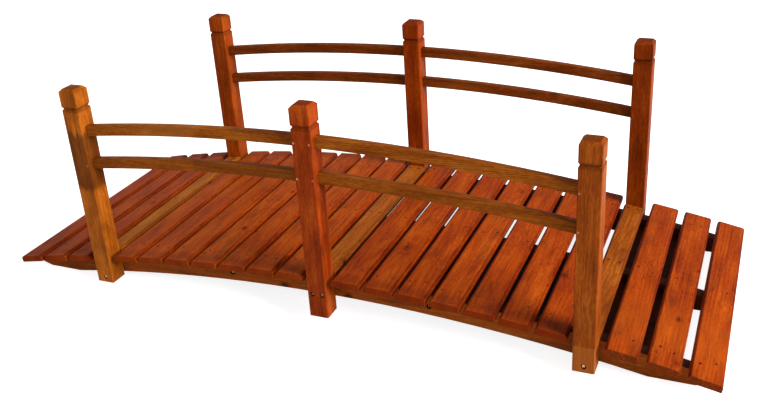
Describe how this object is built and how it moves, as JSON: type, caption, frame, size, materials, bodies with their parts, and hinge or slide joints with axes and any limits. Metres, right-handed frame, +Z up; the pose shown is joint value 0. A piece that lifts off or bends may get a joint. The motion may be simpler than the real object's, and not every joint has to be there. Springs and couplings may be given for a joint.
{
  "type": "arched garden footbridge",
  "caption": "Low arched garden footbridge in stained softwood: slatted deck on curved stringers, square posts with grooved caps and arched twin rails on each side.",
  "frame": {"origin": "on the ground, under the middle of the bridge", "axes": "+X along the bridge to the right as the picture shows it, +Y across it and away from the viewer, +Z up"},
  "size_m": [1.4964, 0.583, 0.464],
  "materials": {
    "deck_wood": "red-brown stained softwood, satin",
    "post_board_wood": "paler brown stained softwood, satin",
    "post_wood": "brown stained softwood, satin",
    "rail_wood": "brown stained softwood, satin",
    "frame_wood": "brown stained softwood, satin",
    "fixings": "zinc-plated steel"
  },
  "bodies": {
    "root": {"brace_left": "frame_wood", "brace_left_end": "frame_wood", "brace_right": "frame_wood", "brace_right_end": "frame_wood", "deck_board_01": "deck_wood", "deck_board_02": "deck_wood", "deck_board_03": "deck_wood", "deck_board_04": "deck_wood", "deck_board_05": "deck_wood", "deck_board_06": "deck_wood", "deck_board_07": "deck_wood", "deck_board_08": "deck_wood", "deck_board_09": "deck_wood", "deck_board_10": "deck_wood", "deck_board_11": "deck_wood", "deck_board_12": "deck_wood", "deck_board_13": "deck_wood", "deck_board_14": "deck_wood", "deck_board_15": "deck_wood", "deck_board_16": "deck_wood", "deck_board_17": "deck_wood", "deck_board_18": "deck_wood", "deck_board_19": "deck_wood", "deck_board_20": "deck_wood", "post_back_left": "post_wood", "post_back_middle": "post_wood", "post_back_right": "post_wood", "post_board_left": "post_board_wood", "post_board_middle": "post_board_wood", "post_board_right": "post_board_wood", "post_front_left": "post_wood", "post_front_middle": "post_wood", "post_front_right": "post_wood", "rail_back_left_lower": "rail_wood", "rail_back_left_upper": "rail_wood", "rail_back_right_lower": "rail_wood", "rail_back_right_upper": "rail_wood", "rail_front_left_lower": "rail_wood", "rail_front_left_upper": "rail_wood", "rail_front_right_lower": "rail_wood", "rail_front_right_upper": "rail_wood", "stringer_back": "frame_wood", "stringer_front": "frame_wood", "stringer_middle": "frame_wood"}
  },
  "joints": []
}
